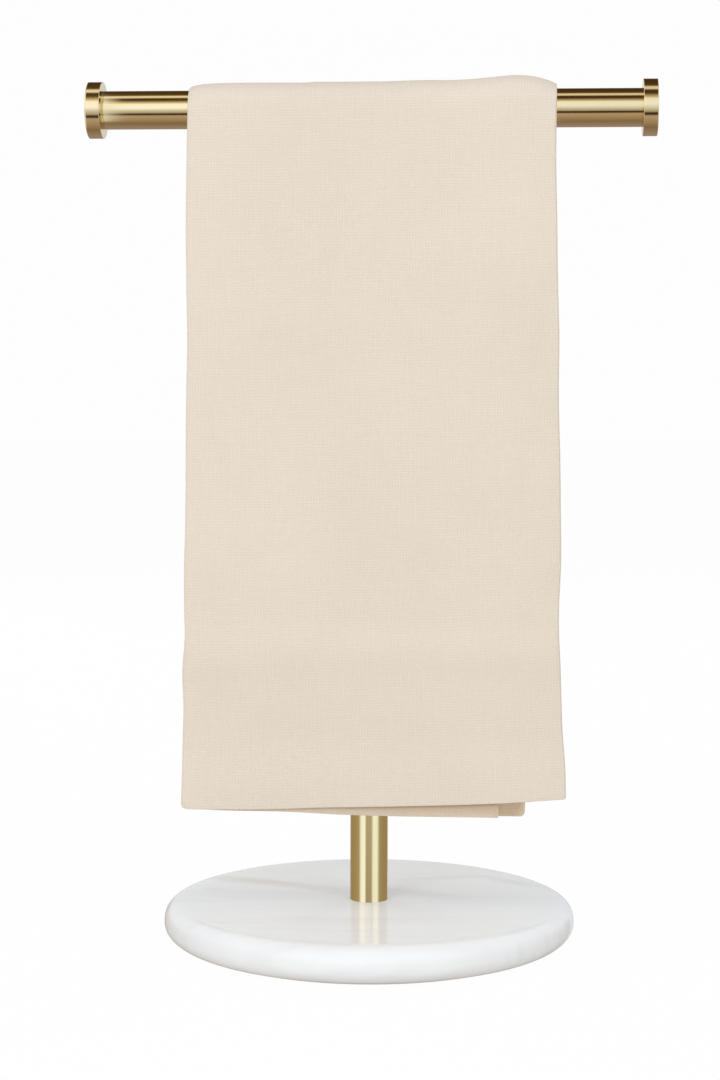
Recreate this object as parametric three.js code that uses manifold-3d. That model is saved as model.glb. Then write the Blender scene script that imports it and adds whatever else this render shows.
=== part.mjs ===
// A hand towel, folded lengthwise in three and hung over the bar of a small T-shaped stand.
// Millimetres, +Z up. The origin is the centre of the underside of the foot pad, +X runs along the bar,
// and the front of the towel faces -Y.
import * as THREE from "three";
import { mergeVertices } from "three/addons/utils/BufferGeometryUtils.js";
import Module from "manifold-3d";

const wasm = await Module();
wasm.setup();

// ---- Driving dimensions -------------------------------------------------------------------------

// The clear gap kept between two pieces that are fixed together.
const PIECE_GAP = 0.3;

// Stand: brass tube, bar and post alike.
const TUBE_RADIUS = 9.5;
const TUBE_SEGMENTS = 48;
const BAR_AXIS_HEIGHT = 417;
const STAND_WIDTH = 282;
const CAP_RADIUS = 14;
const CAP_THICKNESS = 7.2;
const CAP_BEVEL = 0.5;
const SOCKET_DEPTH = 4;

// Stand: marble disc and the pad under it.
const PAD_RADIUS = 90;
const PAD_THICKNESS = 0.8;
const MARBLE_RADIUS = 103.5;
const MARBLE_TOP = 20.4;
const MARBLE_WIDEST_HEIGHT = 10.4;
const TOP_ROUNDING = 11;
const BOTTOM_ROUNDING = 12.8;
// How full each rounding is: 2 is an ellipse, and more than 2 comes nearer to a square corner.
const TOP_FULLNESS = 2.5;
const BOTTOM_FULLNESS = 2;
const ROUNDING_STEPS = 6;
const DISC_SEGMENTS = 72;

// Towel: the cloth and how its layers lie on each other and on the bar.
const CLOTH_THICKNESS = 1;
const LAYER_GAP = 0.3;
const BAR_CLEARANCE = 0.35;
const LAYER_STEP = CLOTH_THICKNESS + LAYER_GAP;
const INNER_OFFSET = BAR_CLEARANCE + CLOTH_THICKNESS / 2;
const MIDDLE_OFFSET = INNER_OFFSET + LAYER_STEP;
const OUTER_OFFSET = MIDDLE_OFFSET + LAYER_STEP;

// The front panel sinks by this much where the middle layer is missing under it.
const STEP_DEPTH = 0.45;
const STEP_WIDTH = 8;
// The middle layer clears the free edge of the inner one by this much before it dips to the bar.
const EDGE_CLEARANCE = 4;

// Columns of the towel's mesh: how many each panel and each fold is divided into.
const INNER_COLUMNS = 9;
const FRONT_COLUMNS = 18;
const DIP_COLUMNS = 4;
const MIDDLE_COLUMNS = 6;
const FOLD_COLUMNS = 6;
// Rows of the half turn over the bar.
const BAR_ROWS = 12;

// The front drop, a row for each level. drop: share of the way from the bar's axis down to the hem;
// left and right: the two folds; innerEdge: free edge of the inner layer; middleEdge: free edge of
// the middle layer; bow: how far the cloth stands off the straight drop.
const FRONT_DROP = [
  { drop: 0.0, left: -90.0, right: 91.5, innerEdge: 70, middleEdge: -26, bow: 0.0 },
  { drop: 0.08, left: -90.6, right: 91.5, innerEdge: 70, middleEdge: -25, bow: 0.1 },
  { drop: 0.16, left: -91.0, right: 92.2, innerEdge: 69, middleEdge: -23, bow: 0.4 },
  { drop: 0.25, left: -90.8, right: 92.8, innerEdge: 69, middleEdge: -21, bow: 0.6 },
  { drop: 0.33, left: -90.5, right: 93.7, innerEdge: 68, middleEdge: -20, bow: 0.2 },
  { drop: 0.42, left: -91.1, right: 93.7, innerEdge: 68, middleEdge: -19, bow: 0.7 },
  { drop: 0.51, left: -91.4, right: 94.7, innerEdge: 67, middleEdge: -18, bow: 0.9 },
  { drop: 0.59, left: -91.7, right: 95.2, innerEdge: 67, middleEdge: -18, bow: 0.8 },
  { drop: 0.66, left: -92.4, right: 95.5, innerEdge: 67, middleEdge: -18, bow: 0.8 },
  { drop: 0.72, left: -92.4, right: 94.7, innerEdge: 66, middleEdge: -18, bow: 0.7 },
  { drop: 0.76, left: -92.1, right: 94.8, innerEdge: 66, middleEdge: -17, bow: 1.4 },
  { drop: 0.81, left: -93.4, right: 95.7, innerEdge: 66, middleEdge: -15, bow: 0.8 },
  { drop: 0.86, left: -93.0, right: 96.3, innerEdge: 66, middleEdge: -13, bow: 0.3 },
  { drop: 0.91, left: -93.5, right: 97.1, innerEdge: 65, middleEdge: -12, bow: 0.1 },
  { drop: 0.955, left: -93.8, right: 98.4, innerEdge: 65, middleEdge: -11, bow: 0.8 },
  { drop: 1.0, left: -94.3, right: 98.9, innerEdge: 65, middleEdge: -10, bow: 1.1 },
];

// The back drop, in the same columns.
const BACK_DROP = [
  { drop: 0.0, left: -90.0, right: 91.5, innerEdge: 70, middleEdge: -26, bow: 0.0 },
  { drop: 0.12, left: -89.6, right: 90.2, innerEdge: 69, middleEdge: -30, bow: 0.4 },
  { drop: 0.26, left: -89.0, right: 87.9, innerEdge: 69, middleEdge: -36, bow: 0.2 },
  { drop: 0.4, left: -88.6, right: 86.0, innerEdge: 68, middleEdge: -41, bow: 0.8 },
  { drop: 0.55, left: -88.0, right: 84.1, innerEdge: 67, middleEdge: -46, bow: 0.6 },
  { drop: 0.7, left: -87.3, right: 82.2, innerEdge: 66, middleEdge: -51, bow: 0.9 },
  { drop: 0.77, left: -87.1, right: 81.3, innerEdge: 66, middleEdge: -54, bow: 1.4 },
  { drop: 0.86, left: -86.7, right: 80.1, innerEdge: 66, middleEdge: -57, bow: 0.5 },
  { drop: 1.0, left: -86.0, right: 78.6, innerEdge: 65, middleEdge: -62, bow: 1.0 },
];

// Extra height of the middle and front layers over the top of the bar, across the towel: they tent over
// the free edge of the inner layer before they come down to the right fold.
const BAR_HUMP = [
  { across: -91, rise: 0.0 },
  { across: -5, rise: 0.0 },
  { across: 8, rise: 0.1 },
  { across: 28, rise: 0.55 },
  { across: 40, rise: 0.5 },
  { across: 50, rise: 0.95 },
  { across: 60, rise: 1.8 },
  { across: 72, rise: 2.7 },
  { across: 84, rise: 1.4 },
  { across: 90, rise: 0.3 },
  { across: 93, rise: 0.1 },
];
// The share of that rise that the inner layer's free edge follows, and over what width.
const INNER_RISE_SHARE = 0.3;
const INNER_RISE_WIDTH = 40;

// The hems, a row for each place along the folded strip. front and back: height of the hem's edge.
const HEMS = [
  { panel: "inner", share: 0.0, front: 65.4, back: 61.8 },
  { panel: "inner", share: 0.5, front: 65.8, back: 62.2 },
  { panel: "inner", share: 0.68, front: 66.9, back: 62.6 },
  { panel: "inner", share: 0.85, front: 67.0, back: 63.0 },
  { panel: "front", share: 0.0, front: 67.6, back: 63.6 },
  { panel: "front", share: 0.2, front: 68.2, back: 64.6 },
  { panel: "front", share: 0.4, front: 69.8, back: 64.9 },
  { panel: "front", share: 0.6, front: 71.1, back: 64.6 },
  { panel: "front", share: 0.85, front: 73.3, back: 63.0 },
  { panel: "front", share: 1.0, front: 75.5, back: 61.9 },
  { panel: "middle", share: 0.5, front: 76.2, back: 62.2 },
  { panel: "middle", share: 1.0, front: 76.6, back: 63.8 },
];
// The radius of each corner of the folded towel, where a hem meets a fold.
const HEM_CORNERS = {
  front: { left: 3, right: 1 },
  back: { left: 2.5, right: 2.5 },
};

// ---- Materials ----------------------------------------------------------------------------------

const clothMaterial = new THREE.MeshStandardMaterial({ color: 0xe6dac8, roughness: 0.92, metalness: 0 });
const brassMaterial = new THREE.MeshStandardMaterial({ color: 0xc9a765, roughness: 0.3, metalness: 1 });
const marbleMaterial = new THREE.MeshStandardMaterial({ color: 0xecebe9, roughness: 0.12, metalness: 0 });
const padMaterial = new THREE.MeshStandardMaterial({ color: 0x5d5348, roughness: 0.85, metalness: 0 });

// ---- Small helpers ------------------------------------------------------------------------------

// A named mesh of one material.
function piece(name, geometry, material) {
  const mesh = new THREE.Mesh(geometry, material);
  mesh.name = name;
  return mesh;
}

// A solid of revolution about +Z from [radius, height] pairs, the first and last of them on the axis.
function turned(profile, segments) {
  const points = profile.map(([radius, height]) => new THREE.Vector2(radius, height));
  const geometry = new THREE.LatheGeometry(points, segments);
  geometry.rotateX(Math.PI / 2);
  return geometry;
}

// A quarter of a rounded edge as [radius, height] pairs, its two ends included. It runs outwards from
// the lower face when side is -1, and inwards to the upper face when side is 1.
function roundedEdge(centreRadius, centreHeight, width, height, fullness, side) {
  const pairs = [];
  for (let step = 0; step <= ROUNDING_STEPS; step += 1) {
    const share = side < 0 ? 1 - step / ROUNDING_STEPS : step / ROUNDING_STEPS;
    const angle = (share * Math.PI) / 2;
    const outwards = Math.cos(angle) ** (2 / fullness);
    const upwards = Math.sin(angle) ** (2 / fullness);
    pairs.push([centreRadius + width * outwards, centreHeight + side * height * upwards]);
  }
  return pairs;
}

// The value of one column of a table at a place between its rows.
function lookUp(table, keyColumn, valueColumn, key) {
  const last = table.length - 1;
  if (key <= table[0][keyColumn]) return table[0][valueColumn];
  if (key >= table[last][keyColumn]) return table[last][valueColumn];
  const next = table.findIndex((row) => row[keyColumn] > key);
  const before = table[next - 1];
  const after = table[next];
  const share = (key - before[keyColumn]) / (after[keyColumn] - before[keyColumn]);
  return THREE.MathUtils.lerp(before[valueColumn], after[valueColumn], share);
}

// A three.js geometry as a manifold solid, and back.
function toSolid(geometry) {
  const bare = geometry.clone();
  bare.deleteAttribute("normal");
  bare.deleteAttribute("uv");
  const merged = mergeVertices(bare);
  const vertProperties = new Float32Array(merged.attributes.position.array);
  const triVerts = new Uint32Array(merged.index.array);
  return new wasm.Manifold(new wasm.Mesh({ numProp: 3, vertProperties, triVerts }));
}

function toGeometry(solid) {
  const mesh = solid.getMesh();
  const geometry = new THREE.BufferGeometry();
  geometry.setAttribute("position", new THREE.BufferAttribute(new Float32Array(mesh.vertProperties), 3));
  geometry.setIndex(new THREE.BufferAttribute(new Uint32Array(mesh.triVerts), 1));
  return geometry;
}

// ---- Stand --------------------------------------------------------------------------------------

const POST_FOOT_HEIGHT = MARBLE_TOP - SOCKET_DEPTH + PIECE_GAP;
const MARBLE_UNDERSIDE = PAD_THICKNESS + PIECE_GAP;
const SOCKET_RADIUS = TUBE_RADIUS + PIECE_GAP;
const HALF_BAR = STAND_WIDTH / 2 - CAP_THICKNESS + SOCKET_DEPTH - PIECE_GAP;

function footPad() {
  const profile = [[0, 0], [PAD_RADIUS, 0], [PAD_RADIUS, PAD_THICKNESS], [0, PAD_THICKNESS]];
  return piece("foot_pad", turned(profile, DISC_SEGMENTS), padMaterial);
}

// The disc has a rounded edge and a shallow socket in its top for the foot of the post.
function marbleBase() {
  const widest = MARBLE_WIDEST_HEIGHT;
  const bottomHeight = widest - MARBLE_UNDERSIDE;
  const topHeight = MARBLE_TOP - widest;
  const bottomCentre = MARBLE_RADIUS - BOTTOM_ROUNDING;
  const topCentre = MARBLE_RADIUS - TOP_ROUNDING;
  const lower = roundedEdge(bottomCentre, widest, BOTTOM_ROUNDING, bottomHeight, BOTTOM_FULLNESS, -1);
  const upper = roundedEdge(topCentre, widest, TOP_ROUNDING, topHeight, TOP_FULLNESS, 1);
  const socketFloor = MARBLE_TOP - SOCKET_DEPTH;
  const profile = [
    [0, MARBLE_UNDERSIDE],
    ...lower,
    ...upper.slice(1),
    [SOCKET_RADIUS, MARBLE_TOP],
    [SOCKET_RADIUS, socketFloor],
    [0, socketFloor],
  ];
  return piece("marble_base", turned(profile, DISC_SEGMENTS), marbleMaterial);
}

// The top of the post is hollowed to sit round the underside of the bar.
function post() {
  const upright = new THREE.CylinderGeometry(
    TUBE_RADIUS, TUBE_RADIUS, BAR_AXIS_HEIGHT - POST_FOOT_HEIGHT, TUBE_SEGMENTS,
  );
  upright.rotateX(Math.PI / 2);
  upright.translate(0, 0, (BAR_AXIS_HEIGHT + POST_FOOT_HEIGHT) / 2);
  const saddle = new THREE.CylinderGeometry(SOCKET_RADIUS, SOCKET_RADIUS, STAND_WIDTH, TUBE_SEGMENTS);
  saddle.rotateZ(Math.PI / 2);
  saddle.translate(0, 0, BAR_AXIS_HEIGHT);
  return piece("post", toGeometry(toSolid(upright).subtract(toSolid(saddle))), brassMaterial);
}

function bar() {
  const rod = new THREE.CylinderGeometry(TUBE_RADIUS, TUBE_RADIUS, 2 * HALF_BAR, TUBE_SEGMENTS);
  rod.rotateZ(Math.PI / 2);
  const mesh = piece("bar", rod, brassMaterial);
  mesh.position.set(0, 0, BAR_AXIS_HEIGHT);
  return mesh;
}

// A cap is turned with its outer face up, then laid along the bar. side is -1 for left, 1 for right.
function endCap(name, side) {
  const rim = CAP_RADIUS - CAP_BEVEL;
  const profile = [
    [0, SOCKET_DEPTH],
    [SOCKET_RADIUS, SOCKET_DEPTH],
    [SOCKET_RADIUS, 0],
    [rim, 0],
    [CAP_RADIUS, CAP_BEVEL],
    [CAP_RADIUS, CAP_THICKNESS - CAP_BEVEL],
    [rim, CAP_THICKNESS],
    [0, CAP_THICKNESS],
  ];
  const mesh = piece(name, turned(profile, TUBE_SEGMENTS), brassMaterial);
  mesh.position.set(side * (STAND_WIDTH / 2 - CAP_THICKNESS), 0, BAR_AXIS_HEIGHT);
  mesh.rotation.y = (side * Math.PI) / 2;
  return mesh;
}

// ---- Towel --------------------------------------------------------------------------------------

// The stations of the drape, from the front hem over the bar to the back hem. turn is the angle round
// the bar, 0 in front and half a turn behind.
function drapeStations() {
  const front = FRONT_DROP.map((row) => ({ ...row, side: "front", turn: 0 }));
  const back = BACK_DROP.map((row) => ({ ...row, side: "back", turn: Math.PI }));
  const over = [];
  for (let step = 1; step < BAR_ROWS; step += 1) {
    over.push({ ...FRONT_DROP[0], side: "over", turn: (step / BAR_ROWS) * Math.PI });
  }
  return [...front.reverse(), ...over, ...back];
}

// How far the three layers lie off the bar at one station and one place across.
function layerOffsets(station, across) {
  const { smoothstep } = THREE.MathUtils;
  const rise = Math.sin(station.turn) * lookUp(BAR_HUMP, "across", "rise", across);
  const step = STEP_DEPTH * smoothstep(station.middleEdge - across, 0, STEP_WIDTH);
  const nearEdge = smoothstep(across, station.innerEdge - INNER_RISE_WIDTH, station.innerEdge);
  return {
    inner: INNER_OFFSET + INNER_RISE_SHARE * nearEdge * rise,
    middle: MIDDLE_OFFSET + rise,
    front: OUTER_OFFSET - step + rise,
  };
}

// A half turn of the section between two layers, round a fold. direction is -1 for the left fold and
// 1 for the right one; the first and last points are left to the panels it joins.
function foldPoints(centreAcross, fromOffset, toOffset, direction, hem) {
  const radius = Math.abs(toOffset - fromOffset) / 2;
  const middle = (fromOffset + toOffset) / 2;
  const points = [];
  for (let step = 1; step < FOLD_COLUMNS; step += 1) {
    const angle = (step / FOLD_COLUMNS) * Math.PI;
    const across = centreAcross + direction * radius * Math.sin(angle);
    const offset = middle + (fromOffset - middle) * Math.cos(angle);
    points.push({ across, offset, ...hem });
  }
  return points;
}

// The hem heights at a share of the way along one panel of the folded strip.
function hemAt(panel, share) {
  const order = { inner: 0, front: 1, middle: 2 };
  const table = HEMS.map((row) => ({ ...row, place: order[row.panel] + row.share }));
  const place = order[panel] + share;
  return { front: lookUp(table, "place", "front", place), back: lookUp(table, "place", "back", place) };
}

// The middle line of the folded strip at one station: across the towel and off the bar, from the free
// edge of the inner layer, round the left fold, along the front, round the right fold, to the free edge
// of the middle layer.
function foldedSection(station) {
  const points = [];
  const half = CLOTH_THICKNESS / 2;

  const atLeft = layerOffsets(station, station.left);
  const leftRadius = (atLeft.front - atLeft.inner) / 2;
  const leftCentre = station.left + half + leftRadius;
  for (let column = 0; column <= INNER_COLUMNS; column += 1) {
    const share = column / INNER_COLUMNS;
    const across = THREE.MathUtils.lerp(station.innerEdge, leftCentre, share);
    points.push({ across, offset: layerOffsets(station, across).inner, ...hemAt("inner", share) });
  }
  points.push(...foldPoints(leftCentre, atLeft.inner, atLeft.front, -1, hemAt("front", 0)));

  const atRight = layerOffsets(station, station.right);
  const rightRadius = (atRight.front - INNER_OFFSET) / 2;
  const rightCentre = station.right - half - rightRadius;
  for (let column = 0; column <= FRONT_COLUMNS; column += 1) {
    const share = column / FRONT_COLUMNS;
    const across = THREE.MathUtils.lerp(leftCentre, rightCentre, share);
    const rightBlend = THREE.MathUtils.smoothstep(share, 1 - 1 / FRONT_COLUMNS, 1);
    const offset = THREE.MathUtils.lerp(layerOffsets(station, across).front, atRight.front, rightBlend);
    points.push({ across, offset, ...hemAt("front", share) });
  }
  points.push(...foldPoints(rightCentre, atRight.front, INNER_OFFSET, 1, hemAt("front", 1)));

  const crest = station.innerEdge + EDGE_CLEARANCE;
  const dipShare = (rightCentre - crest) / (rightCentre - station.middleEdge);
  for (let column = 0; column < DIP_COLUMNS; column += 1) {
    const share = column / DIP_COLUMNS;
    const across = THREE.MathUtils.lerp(rightCentre, crest, share);
    const climb = THREE.MathUtils.smoothstep(share, 0, 1);
    const offset = THREE.MathUtils.lerp(INNER_OFFSET, layerOffsets(station, crest).middle, climb);
    points.push({ across, offset, ...hemAt("middle", share * dipShare) });
  }
  for (let column = 0; column <= MIDDLE_COLUMNS; column += 1) {
    const share = column / MIDDLE_COLUMNS;
    const across = THREE.MathUtils.lerp(crest, station.middleEdge, share);
    const hem = hemAt("middle", THREE.MathUtils.lerp(dipShare, 1, share));
    points.push({ across, offset: layerOffsets(station, across).middle, ...hem });
  }
  return points;
}

// The closed outline of the cloth round its middle line: up one face and back along the other.
function clothOutline(points) {
  const half = CLOTH_THICKNESS / 2;
  const faces = [1, -1].map((face) =>
    points.map((point, index) => {
      const before = points[Math.max(index - 1, 0)];
      const after = points[Math.min(index + 1, points.length - 1)];
      const along = new THREE.Vector2(after.across - before.across, after.offset - before.offset);
      along.normalize();
      return {
        ...point,
        across: point.across - face * half * along.y,
        offset: point.offset + face * half * along.x,
      };
    }),
  );
  return [...faces[0], ...faces[1].reverse()];
}

// How much a rounded corner lifts the hem at a distance from the fold.
function cornerLift(distance, radius) {
  const inside = Math.max(radius - Math.max(distance, 0), 0);
  return radius - Math.sqrt(radius ** 2 - inside ** 2);
}

// A point of the outline set in space: down the front drop, over the bar or down the back drop.
function placeOnDrape(station, point) {
  const reach = TUBE_RADIUS + point.offset + station.bow;
  if (station.side === "over") {
    const rise = Math.sin(station.turn) * reach;
    return [point.across, -Math.cos(station.turn) * reach, BAR_AXIS_HEIGHT + rise];
  }
  const corners = HEM_CORNERS[station.side];
  const leftLift = cornerLift(point.across - station.left, corners.left);
  const rightLift = cornerLift(station.right - point.across, corners.right);
  const hemHeight = (station.side === "front" ? point.front : point.back) + leftLift + rightLift;
  const height = THREE.MathUtils.lerp(BAR_AXIS_HEIGHT, hemHeight, station.drop);
  return [point.across, station.side === "front" ? -reach : reach, height];
}

// The cloth: its outline swept along the stations and closed at both hems.
function towel() {
  const rings = drapeStations().map((station) =>
    clothOutline(foldedSection(station)).map((point) => placeOnDrape(station, point)),
  );
  const around = rings[0].length;
  const positions = rings.flat(2);
  const triangles = [];
  for (let ring = 0; ring < rings.length - 1; ring += 1) {
    for (let corner = 0; corner < around; corner += 1) {
      const here = ring * around + corner;
      const beside = ring * around + ((corner + 1) % around);
      triangles.push(here, beside, here + around, beside, beside + around, here + around);
    }
  }
  const lastRing = (rings.length - 1) * around;
  for (let corner = 0; corner < around / 2 - 1; corner += 1) {
    const opposite = around - 1 - corner;
    triangles.push(corner, opposite, corner + 1, opposite, opposite - 1, corner + 1);
    triangles.push(lastRing + corner, lastRing + corner + 1, lastRing + opposite);
    triangles.push(lastRing + opposite, lastRing + corner + 1, lastRing + opposite - 1);
  }
  const geometry = new THREE.BufferGeometry();
  geometry.setAttribute("position", new THREE.BufferAttribute(new Float32Array(positions), 3));
  geometry.setIndex(triangles);
  return piece("towel", geometry, clothMaterial);
}

// ---- The whole object ---------------------------------------------------------------------------

const towelOnStand = new THREE.Group();
towelOnStand.add(footPad(), marbleBase(), post(), bar());
towelOnStand.add(endCap("end_cap_left", -1), endCap("end_cap_right", 1));
towelOnStand.add(towel());

export default towelOnStand;
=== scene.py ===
import math

import bpy
import numpy as np
from mathutils import Matrix, Vector


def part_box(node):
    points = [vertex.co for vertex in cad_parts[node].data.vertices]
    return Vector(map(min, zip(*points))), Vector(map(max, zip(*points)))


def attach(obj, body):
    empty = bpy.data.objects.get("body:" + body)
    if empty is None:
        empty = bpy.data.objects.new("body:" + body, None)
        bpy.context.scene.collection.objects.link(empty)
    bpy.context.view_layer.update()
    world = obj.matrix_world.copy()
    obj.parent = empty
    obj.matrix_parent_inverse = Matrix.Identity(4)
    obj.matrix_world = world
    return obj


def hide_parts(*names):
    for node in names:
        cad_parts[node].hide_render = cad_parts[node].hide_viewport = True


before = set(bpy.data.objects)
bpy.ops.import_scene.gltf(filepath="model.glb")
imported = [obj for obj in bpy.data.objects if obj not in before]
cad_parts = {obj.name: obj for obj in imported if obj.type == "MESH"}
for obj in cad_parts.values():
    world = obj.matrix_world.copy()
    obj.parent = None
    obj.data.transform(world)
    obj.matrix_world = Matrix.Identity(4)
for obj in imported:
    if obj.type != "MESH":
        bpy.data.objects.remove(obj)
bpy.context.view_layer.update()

MM = 0.001

# ---- Sizes --------------------------------------------------------------------------------------

# The stand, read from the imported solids.
BAR_LOW, BAR_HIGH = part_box("bar")
POST_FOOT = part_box("post")[0][2]
BASE_LOW, BASE_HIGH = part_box("marble_base")
PAD_LOW, PAD_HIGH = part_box("foot_pad")
TUBE_RADIUS = (BAR_HIGH[2] - BAR_LOW[2]) / 2
BAR_HEIGHT = (BAR_HIGH[2] + BAR_LOW[2]) / 2
BASE_RADIUS = BASE_HIGH[0]

# The edge of the marble disc: its widest level, and the width and fullness of its two roundings
# (2 is an ellipse, more is squarer, 1 is a straight bevel).
BASE_WIDEST = 10.4 * MM
TOP_ROUNDING = 11 * MM
TOP_FULLNESS = 2.5
BOTTOM_ROUNDING = 12.8 * MM
BOTTOM_FULLNESS = 2.0

# Small edges and fits of the stand. FULL_ROUND is the fullness of a plain round edge.
FULL_ROUND = 2.0
TUBE_EDGE = 0.4 * MM
CAP_OUTER_EDGE = 0.35 * MM
CAP_INNER_EDGE = 0.25 * MM
PAD_EDGE = 0.3 * MM
SOCKET_DEPTH = 4 * MM
FIT_GAP = 0.05 * MM
SADDLE_GAP = 0.3 * MM

# How finely the stand is divided: steps along a band of a turned piece, and faces round it.
TUBE_STEPS = 5
TUBE_AROUND = 160
DISC_STEPS = 14
DISC_AROUND = 256
POST_EDGE_POINTS = 6
MERGE_DISTANCE = 0.001 * MM
SHARP_ANGLE = math.radians(50)

# The cloth, in millimetres until its points are laid out in metres.
SHEET_THICKNESS = 0.8
SHEET_STEP = 1.3
INNER_OFFSET = 0.85
MIDDLE_OFFSET = INNER_OFFSET + SHEET_STEP
OUTER_OFFSET = MIDDLE_OFFSET + SHEET_STEP
STEP_DEPTH = 0.45
STEP_WIDTH = 8
EDGE_ROLL_DEPTH = 0.75
EDGE_ROLL_WIDTH = 15
EDGE_CLEARANCE = 4
HUMP_SHARE_INNER = 0.3
HUMP_WIDTH_INNER = 40

# Levels of the drops. Columns: share of the drop, left fold, right fold, free edge of the inner
# layer, free edge of the middle layer, bow away from the straight drop.
DROP_COLUMNS = ("drop", "left", "right", "inner_edge", "middle_edge", "bow")
FRONT_DROP = (
    (0.00, -90.0, 91.5, 70, -26, 0.0),
    (0.08, -90.6, 91.5, 70, -25, 0.1),
    (0.16, -91.0, 92.2, 69, -23, 0.4),
    (0.25, -90.8, 92.8, 69, -21, 0.6),
    (0.33, -90.5, 93.7, 68, -20, 0.2),
    (0.42, -91.1, 93.7, 68, -19, 0.7),
    (0.51, -91.4, 94.7, 67, -18, 0.9),
    (0.59, -91.7, 95.2, 67, -18, 0.8),
    (0.66, -92.4, 95.5, 67, -18, 0.8),
    (0.72, -92.4, 94.7, 66, -18, 0.7),
    (0.76, -92.1, 94.8, 66, -17, 1.4),
    (0.81, -93.4, 95.7, 66, -15, 0.8),
    (0.86, -93.0, 96.3, 66, -13, 0.3),
    (0.91, -93.5, 97.1, 65, -12, 0.1),
    (0.955, -93.8, 98.4, 65, -11, 0.8),
    (1.00, -94.3, 98.9, 65, -10, 1.1),
)
BACK_DROP = (
    (0.00, -90.0, 91.5, 70, -26, 0.0),
    (0.12, -89.6, 90.2, 69, -30, 0.4),
    (0.26, -89.0, 87.9, 69, -36, 0.2),
    (0.40, -88.6, 86.0, 68, -41, 0.8),
    (0.55, -88.0, 84.1, 67, -46, 0.6),
    (0.70, -87.3, 82.2, 66, -51, 0.9),
    (0.77, -87.1, 81.3, 66, -54, 1.4),
    (0.86, -86.7, 80.1, 66, -57, 0.5),
    (1.00, -86.0, 78.6, 65, -62, 1.0),
)
# Extra height over the bar, across the towel.
HUMP_COLUMNS = ("across", "rise")
BAR_HUMP = (
    (-91, -1.3), (-88, -0.6), (-84, -0.15), (-79, 0.0), (-5, 0.0), (8, 0.1), (28, 0.55), (40, 0.5),
    (50, 0.95), (60, 1.8), (72, 2.7), (83, 1.6), (88, 0.3), (91.5, -0.9),
)
# Height of the hems along the folded strip: 0 to 1 inner panel, 1 to 2 front, 2 to 3 middle.
HEM_COLUMNS = ("place", "front", "back")
HEMS = (
    (0.00, 65.4, 61.8),
    (0.50, 65.8, 62.2),
    (0.68, 66.9, 62.6),
    (0.85, 67.0, 63.0),
    (1.00, 67.6, 63.6),
    (1.20, 68.2, 64.6),
    (1.40, 69.8, 64.9),
    (1.60, 71.1, 64.6),
    (1.85, 73.3, 63.0),
    (2.00, 75.5, 61.9),
    (2.50, 76.2, 62.2),
    (3.00, 76.6, 63.8),
)
# Radius of the rounded corners of each hem, at the left and the right fold.
HEM_CORNERS = {"front": (3, 1), "back": (2.5, 2.5)}
# Soft creases, each a line on one drop with a round cross-section. Millimetres: side, the two ends as
# across and height, depth outwards (minus is a trough), half width. Each fades out from inside its end
# to past it, and between two levels below the bar's axis all of them fade out towards the bar.
CREASE_INSIDE_END = 8
CREASE_PAST_END = 6
CREASES_BELOW_BAR = (4, 30)
CREASE_COLUMNS = ("side", "across_a", "height_a", "across_b", "height_b", "depth", "width")
CREASES = (
    ("front", -94, 141, -24, 147, 1.3, 7.0),
    ("front", -24, 147, 95, 146, 1.2, 7.5),
    ("front", -17, 160, 90, 160, -0.9, 5.5),
    ("front", -90, 79, -34, 78, 0.8, 6.5),
    ("front", -60, 101, 95, 102, -0.9, 8.0),
    ("front", 86, 196, 97, 160, 1.2, 5.0),
    ("front", -62, 310, 62, 308, 0.6, 7.0),
    ("front", -26, 352, -25, 298, 0.65, 5.5),
    ("front", 30, 350, 44, 316, 0.6, 8.0),
    ("front", -66, 268, -58, 196, 0.8, 9.0),
    ("front", 12, 262, 24, 190, 0.65, 10.0),
    ("front", 88, 331, 87, 281, -0.8, 3.8),
    ("front", 80, 258, 81, 212, -0.8, 4.4),
    ("back", -88, 146, 84, 150, 1.2, 7.0),
    ("back", -60, 160, 80, 162, -0.8, 5.5),
    ("back", -60, 308, 64, 306, 0.5, 6.5),
    ("back", -20, 330, -28, 210, 0.45, 8.0),
)
# How finely the cloth is divided, across its fold and along its drape.
INNER_STEPS = 42
FRONT_STEPS = 84
DIP_STEPS = 10
MIDDLE_STEPS = 22
FOLD_STEPS = 10
EDGE_STEPS = 3
FRONT_ROWS = 118
BAR_ROWS = 26
BACK_ROWS = 100
# The share of its thickness that the cloth keeps in the last row of its round hems.
HEM_END_FULLNESS = 0.02

# The weave: spacing of the threads, length of the slubs along them, and how far the threads wander, in
# spacings.
THREAD_SPACING = 0.7 * MM
SLUB_LENGTH = 12 * MM
THREAD_WANDER = 2.4
# On the flat cloth: the front panel's middle and half its width, and how softly it ends at the folds.
CLOTH_LENGTH = 0.74
FRONT_PANEL_MIDDLE = 0.2561
FRONT_PANEL_HALF = 0.0968
PANEL_EDGE = 1.5 * MM
# The shade beside the front hem is full up to one distance from it and has ended at another. On the
# hem itself it is only a share of that, which grows over the start.
SHADE_FULL = 20 * MM
SHADE_END = 50 * MM
SHADE_START = 6 * MM
SHADE_AT_HEM = 0.3
# The glow beside the back hem, by the same two distances.
GLOW_FULL = 20 * MM
GLOW_END = 40 * MM

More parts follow.
